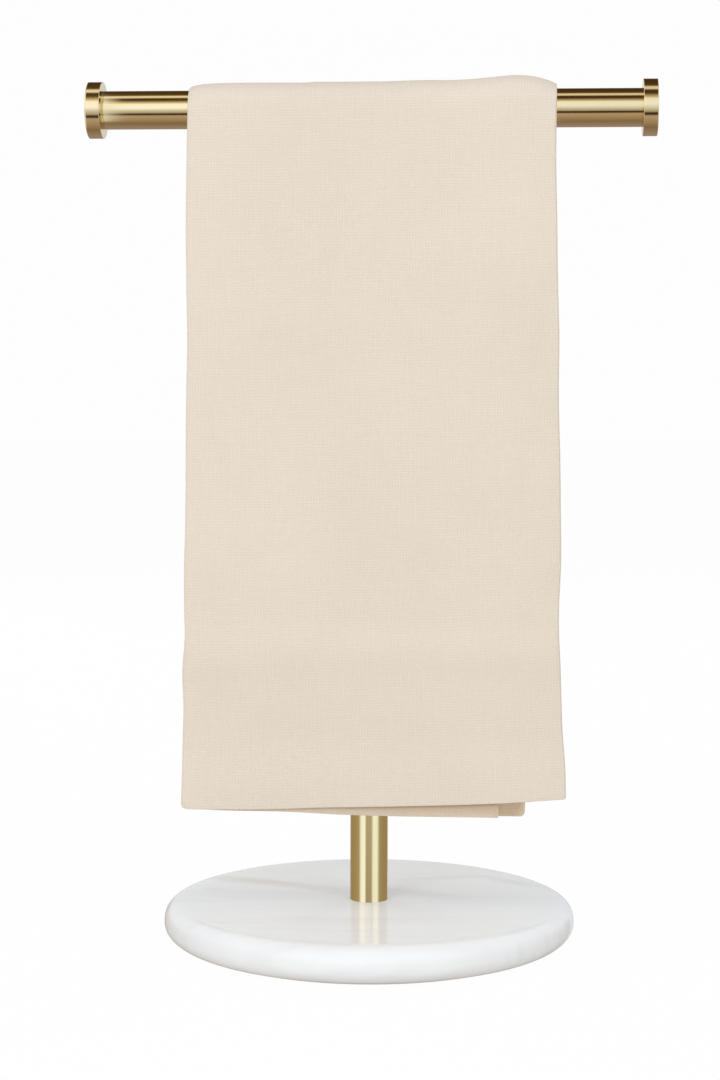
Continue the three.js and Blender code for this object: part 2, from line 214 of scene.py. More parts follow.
# Marks in the marble, seen from above. Columns: across, depth, turn in degrees, half length, half
# width, strength; millimetres. Each kind has its own raggedness.
MARK_COLUMNS = ("across", "depth", "turn", "length", "width", "strength")
WARM_VEINS = (
    (-68, 37, -16, 32, 9, 0.50),
    (-38, 26, -22, 38, 8, 0.38),
    (-80, 14, -8, 9, 4, 0.24),
)
GREY_VEINS = (
    (20, 15, -18, 26, 10, 0.40),
    (72, 44, -38, 22, 7, 0.45),
    (40, 52, 12, 24, 5, 0.30),
    (-10, -48, 5, 60, 10, 0.16),
)
DARK_SPECKS = (
    (-29.0, 16.7, 0, 0.55, 0.5, 0.9),
    (31.1, -3.4, 0, 0.6, 0.5, 0.9),
    (-62, -20, 0, 0.4, 0.4, 0.5),
    (58, -44, 0, 0.4, 0.4, 0.5),
    (-8, 64, 0, 0.5, 0.4, 0.7),
    (-44, 78, 0, 0.4, 0.5, 0.6),
)
WARM_RAGGED = 1.3
GREY_RAGGED = 1.6
SPECK_RAGGED = 0.3

# The finishes: how deep their relief is, and their colours. A pair is the deeper and the paler tone
# that a pattern runs between.
BRUSH_DEPTH = 0.02 * MM
FELT_DEPTH = 0.4 * MM
THREAD_DEPTH = 0.12 * MM
BRASS_TONES = ((0.835, 0.69, 0.435), (0.875, 0.735, 0.48))
BRASS_SOFTNESS = 0.105
BRUSH_ALONG = 60
BRUSH_ACROSS = 2600
MARBLE_TONES = ((0.815, 0.80, 0.78, 1), (0.86, 0.85, 0.83, 1))
STRAND_TONE = (0.755, 0.74, 0.72, 1)
WARM_VEIN_TONE = (0.66, 0.60, 0.53, 1)
GREY_VEIN_TONE = (0.63, 0.605, 0.585, 1)
SPECK_TONE = (0.22, 0.19, 0.17, 1)
FELT_TONES = ((0.42, 0.39, 0.34), (0.52, 0.49, 0.44))
LINEN_TONES = ((0.706, 0.611, 0.501, 1), (0.730, 0.636, 0.528, 1))
# These multiply the linen's colour: thin and thick threads, the front hem's shade, the back hem's glow.
THREAD_SHADES = ((0.94, 0.93, 0.915, 1), (1.06, 1.065, 1.072, 1))
HEM_SHADE = (0.75, 0.65, 0.52, 1)
HEM_GLOW = (1.16, 1.06, 0.93, 1)
WEAVE_GAP_TONE = (0.44, 0.31, 0.22, 1)

# The camera: its place in metres, how it is turned, and its lens for a frame 36 mm high.
CAMERA_PLACE = (0.07737, -1.16237, 0.28865)
CAMERA_TURN = (1.497305, -0.002229, 0.070904)
CAMERA_LENS = 77.543
CAMERA_FILM = 36

# The light: the tint and strength of the open sky, stronger overhead, and soft boxes as name, place and
# power, all aimed at one point.
SKY_TINT = (0.965, 1.0, 1.045, 1)
SKY_STRENGTH = 0.55
SKY_OVERHEAD = 1.12 * SKY_STRENGTH
SKY_RISE = (-0.1, 0.9)
SOFT_BOX_SIZE = 0.9
SOFT_BOX_AIM = (0, 0, 0.25)
SOFT_BOXES = (
    ("overhead", (0.0, -0.25, 1.9), 4.1),
    ("key left", (-0.78, -1.49, 0.65), 11.6),
    ("key right", (1.2, -1.3, 0.75), 6.6),
    ("back left", (-1.1, 1.4, 0.8), 6),
    ("back right", (1.1, 1.4, 0.8), 6),
)
# The floor and the room behind: how white the camera sees them, and how much light the floor throws
# back, close to the base and far from it, with the distances in radii of the base.
ROOM_WHITE = 0.987
FLOOR_CORNERS = ((-6, -4, 0), (6, -4, 0), (6, 8, 0), (-6, 8, 0))
FLOOR_WHITE = 0.965
FLOOR_GREY = 0.03
FLOOR_THROWN = (0.70, 0.78)
FLOOR_FADE = (0.8, 1.8)

# What polished metal and stone mirror: the colour of the studio round the bar, by the angle from the
# front over the top to the back, and round the post, by the angle away from its lit front line, low
# down and higher up. Angles are in degrees.
STUDIO_ROUND_BAR = (
    (-180, (0.85, 0.85, 0.85)),
    (-168, (0.34, 0.28, 0.25)),
    (-131, (0.34, 0.28, 0.25)),
    (-91, (0.25, 0.18, 0.11)),
    (-62, (0.40, 0.32, 0.22)),
    (-44, (0.50, 0.40, 0.29)),
    (-38, (0.40, 0.32, 0.22)),
    (-35, (0.04, 0.02, 0.01)),
    (-27, (0.04, 0.02, 0.01)),
    (-23, (0.42, 0.38, 0.28)),
    (-12, (0.62, 0.62, 0.56)),
    (-4, (0.85, 0.88, 0.86)),
    (6, (1.15, 1.25, 1.34)),
    (30, (1.15, 1.20, 1.20)),
    (36, (0.80, 0.68, 0.45)),
    (45, (0.42, 0.32, 0.15)),
    (52, (0.08, 0.05, 0.02)),
    (68, (0.05, 0.03, 0.01)),
    (74, (0.95, 0.88, 0.70)),
    (84, (0.95, 0.88, 0.70)),
    (91, (0.20, 0.12, 0.03)),
    (97, (0.10, 0.05, 0.01)),
    (118, (0.07, 0.04, 0.01)),
    (150, (0.06, 0.04, 0.02)),
    (160, (0.80, 0.80, 0.80)),
    (180, (0.85, 0.85, 0.85)),
)
POST_LIT_LINE = math.radians(4.0)
STUDIO_ROUND_POST = (
    (0, (0.53, 0.46, 0.24)),
    (11, (0.53, 0.46, 0.24)),
    (27, (1.09, 1.22, 1.28)),
    (50, (1.09, 1.22, 1.28)),
    (67, (0.44, 0.38, 0.25)),
    (90, (0.40, 0.33, 0.19)),
    (130, (0.37, 0.30, 0.17)),
    (165, (0.40, 0.34, 0.24)),
    (180, (0.50, 0.45, 0.35)),
)
STUDIO_HIGH_RING = (
    (0, (0.70, 0.70, 0.70)),
    (20, (0.75, 0.75, 0.75)),
    (28, (1.60, 1.60, 1.60)),
    (54, (1.60, 1.60, 1.60)),
    (64, (0.70, 0.70, 0.70)),
    (120, (0.65, 0.65, 0.65)),
    (150, (0.80, 0.80, 0.80)),
    (180, (0.85, 0.85, 0.85)),
)
# Where its parts meet, as parts of a direction's length along X, Y or Z, and how dim its right side is.
BESIDE_BAR = (0.24, 0.34)
HIGHER_RING = (0.0, 0.10)
BAR_DIMMER = 0.86
BAR_DIMMER_ACROSS = (-0.13, 0.02)
BAR_DIMMER_UP = (-0.15, 0.0)
RING_DIMMER = 0.94
RING_DIMMER_ACROSS = (0.1, 0.3)
PALE_WALL = (0.72, 0.74, 0.80, 1)
PALE_WALL_BACK = 0.9
PALE_WALL_ACROSS = 0.14

# ---- Small helpers ------------------------------------------------------------------------------


def table(rows, names):
    """A table's columns as arrays by name."""
    return {name: np.array([row[i] for row in rows]) for i, name in enumerate(names)}


def smooth_read(columns, key, name, places):
    """A column of a table at any places along its key, on a smooth curve through its rows."""
    x = columns[key].astype(float)
    y = columns[name].astype(float)
    slope = np.gradient(y, x)
    p = np.clip(places, x[0], x[-1])
    i = np.clip(np.searchsorted(x, p, side="right") - 1, 0, len(x) - 2)
    span = x[i + 1] - x[i]
    t = (p - x[i]) / span
    a = y[i] * (1 + 2 * t) * (1 - t) ** 2 + slope[i] * span * t * (1 - t) ** 2
    b = y[i + 1] * t * t * (3 - 2 * t) - slope[i + 1] * span * t * t * (1 - t)
    return a + b


def smooth_step(value, low, high):
    """0 below the low value, 1 above the high one, and a smooth rise between them."""
    t = np.clip((value - low) / (high - low), 0, 1)
    return t * t * (3 - 2 * t)


def grey(value):
    """A neutral colour."""
    return (value, value, value, 1)


def new_piece(name, vertices, faces, smooth=True):
    """A mesh object at the origin with its place in its mesh."""
    mesh = bpy.data.meshes.new(name)
    mesh.from_pydata([tuple(v) for v in vertices], [], [tuple(f) for f in faces])
    mesh.validate()
    mesh.polygons.foreach_set("use_smooth", [smooth] * len(mesh.polygons))
    obj = bpy.data.objects.new(name, mesh)
    bpy.context.scene.collection.objects.link(obj)
    return obj


class Tree:
    """Short calls for building a node tree."""

    def __init__(self, tree):
        self.tree = tree
        self.tree.nodes.clear()

    def add(self, kind, inputs=None, **settings):
        node = self.tree.nodes.new(kind)
        for key, value in settings.items():
            setattr(node, key, value)
        for key, value in (inputs or {}).items():
            self.feed(node.inputs[key], value)
        return node

    def feed(self, socket, value):
        if isinstance(value, bpy.types.NodeSocket):
            self.tree.links.new(value, socket)
        else:
            socket.default_value = value

    def math(self, operation, a, b=0.0):
        return self.add("ShaderNodeMath", {0: a, 1: b}, operation=operation).outputs[0]

    def plus(self, a, b):
        return self.math("ADD", a, b)

    def minus(self, a, b):
        return self.math("SUBTRACT", a, b)

    def times(self, a, b):
        return self.math("MULTIPLY", a, b)

    def over(self, a, b):
        return self.math("DIVIDE", a, b)

    def hypotenuse(self, a, b):
        return self.math("SQRT", self.plus(self.math("POWER", a, 2.0), self.math("POWER", b, 2.0)))

    def mix(self, factor, a, b):
        node = self.add("ShaderNodeMix", data_type="FLOAT")
        for label, value in (("Factor", factor), ("A", a), ("B", b)):
            self.feed(node.inputs[label], value)
        return node.outputs["Result"]

    def mix_colour(self, factor, a, b, blend="MIX"):
        """A mix of two colours, by the numbers of the node's colour sockets."""
        node = self.add("ShaderNodeMix", data_type="RGBA", blend_type=blend)
        for index, value in ((0, factor), (6, a), (7, b)):
            self.feed(node.inputs[index], value)
        return node.outputs[2]

    def spread(self, value, low, high, to_low=0.0, to_high=1.0, shape="LINEAR"):
        """A value mapped from one range to another, held at its ends."""
        return self.add("ShaderNodeMapRange", {
            "Value": value, "From Min": low, "From Max": high, "To Min": to_low, "To Max": to_high,
        }, interpolation_type=shape).outputs[0]

    def noise(self, place, scale=1.0, detail=2.0):
        inputs = {"Vector": place, "Scale": scale, "Detail": detail}
        return self.add("ShaderNodeTexNoise", inputs).outputs["Fac"]

    def scaled(self, place, scale):
        return self.add("ShaderNodeMapping", {"Vector": place, "Scale": scale}).outputs[0]

    def split(self, vector):
        return self.add("ShaderNodeSeparateXYZ", {0: vector}).outputs

    def join(self, x, y, z=0.0):
        return self.add("ShaderNodeCombineXYZ", {0: x, 1: y, 2: z}).outputs[0]

    def ramp(self, factor, stops):
        node = self.add("ShaderNodeValToRGB", {"Fac": factor})
        elements = node.color_ramp.elements
        while len(elements) > 1:
            elements.remove(elements[-1])
        first, colour = stops[0]
        elements[0].position = first
        elements[0].color = (*colour, 1)
        for position, colour in stops[1:]:
            elements.new(position).color = (*colour, 1)
        return node.outputs["Color"]


def node_group(name, kind, inputs, outputs):
    """A new node group with named sockets: the group, its tree and its input sockets."""
    group = bpy.data.node_groups.new(name, kind)
    for way, sockets in (("INPUT", inputs), ("OUTPUT", outputs)):
        for label, socket in sockets.items():
            group.interface.new_socket(label, in_out=way, socket_type="NodeSocket" + socket)
    t = Tree(group)
    return group, t, t.add("NodeGroupInput").outputs


# ---- Turned pieces ------------------------------------------------------------------------------


def turned_band():
    """A band of a turned surface: from one point of the profile to the next, bulging from a centre."""
    group, t, given = node_group("turned band", "GeometryNodeTree", {
        "From Radius": "Float", "From Height": "Float", "To Radius": "Float", "To Height": "Float",
        "Centre Radius": "Float", "Centre Height": "Float", "Fullness": "Float",
        "Steps": "Int", "Around": "Int",
    }, {"Surface": "Geometry"})
    grid = t.add("GeometryNodeMeshGrid", {
        "Size X": 1.0, "Size Y": 1.0,
        "Vertices X": t.plus(given["Around"], 1.0),
        "Vertices Y": t.plus(given["Steps"], 1.0),
    })
    spot = t.split(t.add("GeometryNodeInputPosition").outputs[0])
    turn = t.times(t.plus(spot["X"], 0.5), 2 * math.pi)
    way = t.times(t.plus(spot["Y"], 0.5), math.pi / 2)
    power = t.over(2.0, given["Fullness"])
    leaving = t.math("POWER", t.math("ABSOLUTE", t.math("COSINE", way)), power)
    arriving = t.math("POWER", t.math("ABSOLUTE", t.math("SINE", way)), power)

    def along(measure):
        centre = given["Centre " + measure]
        start = t.times(t.minus(given["From " + measure], centre), leaving)
        end = t.times(t.minus(given["To " + measure], centre), arriving)
        return t.plus(centre, t.plus(start, end))

    radius = along("Radius")
    point = t.join(
        t.times(radius, t.math("COSINE", turn)),
        t.times(radius, t.math("SINE", turn)),
        along("Height"),
    )
    bent = t.add("GeometryNodeSetPosition", {"Geometry": grid.outputs["Mesh"], "Position": point})
    t.add("NodeGroupOutput", {"Surface": bent.outputs[0]})
    return group


def turned_solid():
    """A solid turned about +Z: a rim with two rounded edges, and a round socket sunk in its top."""
    group, t, given = node_group("turned solid", "GeometryNodeTree", {
        "Radius": "Float", "Bottom": "Float", "Top": "Float",
        "Lower Edge Width": "Float", "Lower Edge Height": "Float", "Lower Fullness": "Float",
        "Upper Edge Width": "Float", "Upper Edge Height": "Float", "Upper Fullness": "Float",
        "Socket Radius": "Float", "Socket Depth": "Float",
        "Steps": "Int", "Around": "Int", "Finish": "Material",
    }, {"Solid": "Geometry"})
    band = turned_band()
    rim = given["Radius"]
    low_inside = t.minus(rim, given["Lower Edge Width"])
    low_rim = t.plus(given["Bottom"], given["Lower Edge Height"])
    high_inside = t.minus(rim, given["Upper Edge Width"])
    high_rim = t.minus(given["Top"], given["Upper Edge Height"])
    socket_floor = t.minus(given["Top"], given["Socket Depth"])
    whole = t.add("GeometryNodeJoinGeometry")

    def lay(start, end, centre=(0.0, 0.0), fullness=1.0):
        piece = t.add("GeometryNodeGroup", {
            "From Radius": start[0], "From Height": start[1], "To Radius": end[0], "To Height": end[1],
            "Centre Radius": centre[0], "Centre Height": centre[1], "Fullness": fullness,
            "Steps": given["Steps"], "Around": given["Around"],
        }, node_tree=band)
        t.feed(whole.inputs[0], piece.outputs[0])

    lay((0.0, given["Bottom"]), (low_inside, given["Bottom"]))
    lay((low_inside, given["Bottom"]), (rim, low_rim), (low_inside, low_rim), given["Lower Fullness"])
    lay((rim, low_rim), (rim, high_rim))
    lay((rim, high_rim), (high_inside, given["Top"]), (high_inside, high_rim), given["Upper Fullness"])
    lay((high_inside, given["Top"]), (given["Socket Radius"], given["Top"]))
    lay((given["Socket Radius"], given["Top"]), (given["Socket Radius"], socket_floor))
    lay((given["Socket Radius"], socket_floor), (0.0, socket_floor))
    closed = t.add("GeometryNodeMergeByDistance", {
        "Geometry": whole.outputs[0], "Distance": MERGE_DISTANCE,
    })
    smooth = t.add("GeometryNodeSetShadeSmooth", {"Geometry": closed.outputs[0]})
    real = t.add("GeometryNodeRealizeInstances", {"Geometry": smooth.outputs[0]})
    finished = t.add("GeometryNodeSetMaterial", {"Geometry": real.outputs[0], "Material": given["Finish"]})
    t.add("NodeGroupOutput", {"Solid": finished.outputs[0]})
    return group


def grow(tree, name, sizes):
    """A plain mesh object grown by a geometry tree at the given sizes."""
    seed = new_piece(name + "_seed", [(0, 0, 0)], [])
    modifier = seed.modifiers.new("shape", "NODES")
    modifier.node_group = tree
    for item in tree.interface.items_tree:
        if item.in_out == "INPUT":
            modifier[item.identifier] = sizes[item.name]
    ready = seed.evaluated_get(bpy.context.evaluated_depsgraph_get())
    mesh = bpy.data.meshes.new_from_object(ready)
    seed.modifiers.remove(modifier)
    bpy.data.objects.remove(seed)
    obj = bpy.data.objects.new(name, mesh)
    bpy.context.scene.collection.objects.link(obj)
    return obj


# ---- Materials ----------------------------------------------------------------------------------


def material(name):
    """A new material and the tree to build it in."""
    made = bpy.data.materials.new(name)
    made.use_nodes = True
    return made, Tree(made.node_tree)


def finish_material(tree, shader):
    """Gives a material's shader to its surface."""
    tree.add("ShaderNodeOutputMaterial", {"Surface": shader})


def brush_marks():
    """Fine brushing over metal, from object coordinates stretched along the brush."""
    group, t, given = node_group("brush marks", "ShaderNodeTree", {
        "Place": "Vector", "Softness": "Float",
    }, {"Height": "Float", "Roughness": "Float", "Tone": "Float"})
    lines = t.noise(given["Place"], detail=3.0)
    smears = t.noise(t.scaled(given["Place"], (0.16, 0.16, 0.16)))
    rough = t.plus(given["Softness"], t.spread(lines, 0.3, 0.7, -0.02, 0.03))
    t.add("NodeGroupOutput", {"Height": lines, "Roughness": rough, "Tone": smears})
    return group


def brushed_brass(name, stretch, marks):
    """Satin brass with very fine brushing, stretched along the way it runs."""
    made, t = material(name)
    place = t.add("ShaderNodeTexCoord").outputs["Object"]
    brush = t.add("ShaderNodeGroup", {
        "Place": t.scaled(place, stretch), "Softness": BRASS_SOFTNESS,
    }, node_tree=marks).outputs
    colour = t.ramp(brush["Tone"], [(0.3, BRASS_TONES[0]), (0.7, BRASS_TONES[1])])
    bump = t.add("ShaderNodeBump", {"Height": brush["Height"], "Strength": 0.02, "Distance": BRUSH_DEPTH})
    shader = t.add("ShaderNodeBsdfPrincipled", {
        "Base Color": colour, "Metallic": 1.0, "Roughness": brush["Roughness"], "Normal": bump.outputs[0],
    })
    finish_material(t, shader.outputs[0])
    return made


def soft_mark():
    """A soft oval mark in stone: how strongly it shows at a place."""
    group, t, given = node_group("soft mark", "ShaderNodeTree", {
        "Place": "Vector", "Centre": "Vector", "Turn": "Float", "Length": "Float", "Width": "Float",
        "Ragged": "Float",
    }, {"Mark": "Float"})
    away = t.add("ShaderNodeVectorMath", {0: given["Place"], 1: given["Centre"]}, operation="SUBTRACT")
    spun = t.add("ShaderNodeVectorRotate", {
        "Vector": away.outputs[0], "Angle": t.times(given["Turn"], -1.0),
    }, rotation_type="Z_AXIS")
    axes = t.split(spun.outputs[0])
    along = t.over(axes["X"], given["Length"])
    beside = t.over(axes["Y"], given["Width"])
    reach = t.hypotenuse(along, beside)
    wisps = t.noise(t.scaled(spun.outputs[0], (90, 480, 90)), detail=4.0)
    ragged = t.times(t.minus(wisps, 0.5), given["Ragged"])
    mark = t.spread(t.plus(reach, ragged), 1.3, 0.1, shape="SMOOTHSTEP")
    t.add("NodeGroupOutput", {"Mark": mark})
    return group


def polished_marble():
    """White marble: faint warm and grey veins, a few dark specks, a clear polish."""
    made, t = material("polished marble")
    place = t.add("ShaderNodeTexCoord").outputs["Object"]
    oval = soft_mark()

    def marks(rows, ragged):
        total = 0.0
        for row in rows:
            m = dict(zip(MARK_COLUMNS, row))
            mark = t.add("ShaderNodeGroup", {
                "Place": place, "Centre": (m["across"] * MM, m["depth"] * MM, 0),
                "Turn": math.radians(m["turn"]), "Length": m["length"] * MM, "Width": m["width"] * MM,
                "Ragged": ragged,
            }, node_tree=oval).outputs[0]
            total = t.plus(total, t.times(mark, m["strength"]))
        return t.math("MINIMUM", total, 1.0)

    clouds = t.noise(place, scale=16.0, detail=5.0)
    strands = t.noise(t.scaled(place, (14, 150, 60)), detail=5.0)
    body = t.mix_colour(t.spread(clouds, 0.3, 0.7), *MARBLE_TONES)
    streaked = t.mix_colour(t.spread(strands, 0.52, 0.74, 0.0, 0.5), body, STRAND_TONE)
    warm = t.mix_colour(marks(WARM_VEINS, WARM_RAGGED), streaked, WARM_VEIN_TONE)
    cool = t.mix_colour(marks(GREY_VEINS, GREY_RAGGED), warm, GREY_VEIN_TONE)
    colour = t.mix_colour(marks(DARK_SPECKS, SPECK_RAGGED), cool, SPECK_TONE)
    smears = t.spread(t.noise(place, scale=40.0, detail=4.0), 0.3, 0.7, 0.08, 0.12)
    shader = t.add("ShaderNodeBsdfPrincipled", {
        "Base Color": colour, "Roughness": smears, "Specular IOR Level": 0.3, "IOR": 1.5,
    })
    finish_material(t, shader.outputs[0])
    return made


def pad_felt():
    """Dense grey-brown felt with a rough nap."""
    made, t = material("pad felt")
    place = t.add("ShaderNodeTexCoord").outputs["Object"]
    fibres = t.noise(place, scale=900.0, detail=4.0)
    colour = t.ramp(fibres, [(0.3, FELT_TONES[0]), (0.7, FELT_TONES[1])])
    bump = t.add("ShaderNodeBump", {"Height": fibres, "Strength": 0.5, "Distance": FELT_DEPTH})
    shader = t.add("ShaderNodeBsdfPrincipled", {
        "Base Color": colour, "Roughness": 0.95, "Normal": bump.outputs[0],
    })
    finish_material(t, shader.outputs[0])
    return made


def plain_weave():
    """Plain weave over a cloth's own map in metres: its threads' height and tone, and its gaps."""
    group, t, given = node_group("plain weave", "ShaderNodeTree", {
        "Map": "Vector", "Spacing": "Float", "Slub Length": "Float", "Wander": "Float",
        "Slubs": "Float", "Fibres": "Float", "Pairs": "Float",
    }, {"Height": "Float", "Tone": "Float", "Gap": "Float"})
    sway = t.add("ShaderNodeTexNoise", {"Vector": given["Map"], "Scale": 60.0, "Detail": 2.0})
    drift = t.add("ShaderNodeVectorMath", {
        0: sway.outputs["Color"], 1: (0.5, 0.5, 0.5),
    }, operation="SUBTRACT")
    swayed = t.add("ShaderNodeVectorMath", {
        0: drift.outputs[0], "Scale": t.times(given["Spacing"], given["Wander"]),
    }, operation="SCALE")
    moved = t.add("ShaderNodeVectorMath", {0: given["Map"], 1: swayed.outputs[0]}, operation="ADD")
    axes = t.split(moved.outputs[0])
    across = t.over(axes["X"], given["Spacing"])
    along = t.over(axes["Y"], given["Spacing"])
    warp_index = t.math("FLOOR", across)
    weft_index = t.math("FLOOR", along)
    warp_on_top = t.math("FLOORED_MODULO", t.plus(warp_index, weft_index), 2.0)
    warp_crown = t.math("ABSOLUTE", t.math("SINE", t.times(across, math.pi)))
    weft_crown = t.math("ABSOLUTE", t.math("SINE", t.times(along, math.pi)))

    def slubs(index, run, seed):
        """Thick and thin places of one thread, by its number and the way along it."""
        own = t.plus(t.times(index, 7.31), 0.41)
        place = t.over(run, given["Slub Length"])
        return t.noise(t.join(own, place, seed))

    warp_slub = slubs(warp_index, axes["Y"], seed=3.7)
    weft_slub = slubs(weft_index, axes["X"], seed=9.2)
    slub = t.mix(warp_on_top, weft_slub, warp_slub)

    def pairs(run, strength):
        """Light and dark lines where the threads lie in pairs, stronger beside some threads."""
        wave = t.math("COSINE", t.times(run, math.pi))
        return t.times(wave, t.times(t.spread(strength, 0.3, 0.7), given["Pairs"]))

    lines = t.plus(pairs(across, warp_slub), pairs(along, weft_slub))
    fibres = t.noise(given["Map"], scale=t.over(1.8, given["Spacing"]), detail=1.0)
    fine = t.times(t.minus(fibres, 0.5), given["Fibres"])
    uneven = t.times(t.minus(slub, 0.5), given["Slubs"])
    tone = t.plus(t.plus(uneven, lines), fine)
    crown = t.mix(warp_on_top, weft_crown, warp_crown)
    other = t.mix(warp_on_top, warp_crown, weft_crown)
    arch = t.times(crown, t.plus(0.5, t.times(other, 0.5)))
    height = t.plus(arch, t.times(tone, 2.0))
    hollow = t.minus(1.0, t.math("MAXIMUM", warp_crown, weft_crown))
    corner = t.join(t.math("ROUND", across), t.math("ROUND", along))
    chance = t.add("ShaderNodeTexWhiteNoise", {"Vector": corner}, noise_dimensions="2D").outputs["Value"]
    gap = t.times(t.spread(hollow, 0.3, 0.75), t.spread(chance, 0.80, 0.95))
    t.add("NodeGroupOutput", {"Height": height, "Tone": tone, "Gap": gap})
    return group


def linen_cloth():
    """Cream plain-weave linen with slubs and a slight unevenness of dye."""
    made, t = material("cream linen")
    uv = t.add("ShaderNodeUVMap", uv_map="cloth").outputs[0]
    weave = t.add("ShaderNodeGroup", {
        "Map": uv, "Spacing": THREAD_SPACING, "Slub Length": SLUB_LENGTH, "Wander": THREAD_WANDER,
        "Slubs": 0.4, "Fibres": 1.5, "Pairs": 0.16,
    }, node_tree=plain_weave()).outputs
    patches = t.spread(t.noise(uv, scale=11.0, detail=4.0), 0.32, 0.68)
    dye = t.mix_colour(patches, *LINEN_TONES)
    shade = t.mix_colour(t.spread(weave["Tone"], -0.2, 0.2), *THREAD_SHADES)
    toned = t.mix_colour(1.0, dye, shade, "MULTIPLY")
    colour = t.mix_colour(t.times(weave["Gap"], 0.4), toned, WEAVE_GAP_TONE)
    # The layers folded under the front panel lie in its shade beside the front hem.
    axes = t.split(uv)
    aside = t.math("ABSOLUTE", t.minus(axes["X"], FRONT_PANEL_MIDDLE))
    folded_under = t.spread(aside, FRONT_PANEL_HALF, FRONT_PANEL_HALF + PANEL_EDGE)
    start = t.spread(axes["Y"], 0.0, SHADE_START, SHADE_AT_HEM, 1.0)
    front_hem = t.times(start, t.spread(axes["Y"], SHADE_END, SHADE_FULL))
    colour = t.mix_colour(t.times(folded_under, front_hem), colour, HEM_SHADE, "MULTIPLY")
    # Beside the back hem they glow with the light that comes through the back panel.
    back_hem = t.spread(axes["Y"], CLOTH_LENGTH - GLOW_END, CLOTH_LENGTH - GLOW_FULL)
    colour = t.mix_colour(t.times(folded_under, back_hem), colour, HEM_GLOW, "MULTIPLY")
    bump = t.add("ShaderNodeBump", {"Height": weave["Height"], "Strength": 0.3, "Distance": THREAD_DEPTH})
    shader = t.add("ShaderNodeBsdfPrincipled", {
        "Base Color": colour, "Roughness": 0.95, "Specular IOR Level": 0.15,
        "Normal": bump.outputs[0],
    })
    finish_material(t, shader.outputs[0])
    return made


# ---- Stand --------------------------------------------------------------------------------------


def dress(obj, node):
    """Marks sharp edges by angle, hangs the piece under the root body and hides the solid it stands for.
    """
    obj.data.set_sharp_from_angle(angle=SHARP_ANGLE)
    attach(obj, "root")
    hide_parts(node)


def lay_along_bar(obj, start_x, direction):
    """Turns a piece made about +Z so that it runs towards +X or -X from start_x, on the bar's axis."""
    turn = Matrix.Rotation(direction * math.pi / 2, 4, "Y")
    place = Matrix.Translation((start_x, 0, BAR_HEIGHT))
    obj.data.transform(place @ turn)


def plain_sizes(finish):
    """The sizes that the bar, the caps and the pad share, before their own are set."""
    return {
        "Radius": TUBE_RADIUS, "Bottom": 0.0,
        "Lower Edge Width": TUBE_EDGE, "Lower Edge Height": TUBE_EDGE, "Lower Fullness": FULL_ROUND,
        "Upper Edge Width": TUBE_EDGE, "Upper Edge Height": TUBE_EDGE, "Upper Fullness": FULL_ROUND,
        "Socket Radius": 0.0, "Socket Depth": 0.0,
        "Steps": TUBE_STEPS, "Around": TUBE_AROUND, "Finish": finish,
    }


def stand_pieces():
    """The bar, its two caps, the post, the marble disc and the pad under it."""
    marks = brush_marks()
    brass_along_bar = brushed_brass("brushed brass bar", (BRUSH_ALONG, BRUSH_ACROSS, BRUSH_ACROSS), marks)
    brass_upright = brushed_brass("brushed brass post", (BRUSH_ACROSS, BRUSH_ACROSS, BRUSH_ALONG), marks)
    solid = turned_solid()

    bar = grow(solid, "bar_tube", {**plain_sizes(brass_along_bar), "Top": BAR_HIGH[0] - BAR_LOW[0]})
    lay_along_bar(bar, BAR_LOW[0], 1)
    dress(bar, "bar")

    for node in ("end_cap_left", "end_cap_right"):
        low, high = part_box(node)
        side = 1 if high[0] > 0 else -1
        cap = grow(solid, node + "_turned", {
            **plain_sizes(brass_along_bar), "Radius": (high[2] - low[2]) / 2, "Top": high[0] - low[0],
            "Lower Edge Width": CAP_OUTER_EDGE, "Lower Edge Height": CAP_OUTER_EDGE,
            "Upper Edge Width": CAP_INNER_EDGE, "Upper Edge Height": CAP_INNER_EDGE,
            "Socket Radius": TUBE_RADIUS + FIT_GAP, "Socket Depth": SOCKET_DEPTH,
        })
        lay_along_bar(cap, side * max(abs(low[0]), abs(high[0])), -side)
        dress(cap, node)

    post = coped_post(brass_upright)
    dress(post, "post")

    base = grow(solid, "marble_disc", {
        "Radius": BASE_RADIUS, "Bottom": BASE_LOW[2], "Top": BASE_HIGH[2],
        "Lower Edge Width": BOTTOM_ROUNDING, "Lower Edge Height": BASE_WIDEST - BASE_LOW[2],
        "Lower Fullness": BOTTOM_FULLNESS,
        "Upper Edge Width": TOP_ROUNDING, "Upper Edge Height": BASE_HIGH[2] - BASE_WIDEST,
        "Upper Fullness": TOP_FULLNESS,
        "Socket Radius": TUBE_RADIUS + FIT_GAP, "Socket Depth": SOCKET_DEPTH,
        "Steps": DISC_STEPS, "Around": DISC_AROUND, "Finish": polished_marble(),
    })
    # The disc and the pad aren't mirrored, so that the post keeps its bands down to its foot.
    base.visible_glossy = False
    dress(base, "marble_base")

    pad = grow(solid, "pad_disc", {
        **plain_sizes(pad_felt()), "Radius": PAD_HIGH[0], "Bottom": PAD_LOW[2], "Top": PAD_HIGH[2],
        "Lower Edge Width": PAD_EDGE, "Lower Edge Height": PAD_EDGE,
        "Upper Edge Width": PAD_EDGE, "Upper Edge Height": PAD_EDGE,
    })
    pad.visible_glossy = False
    dress(pad, "foot_pad")


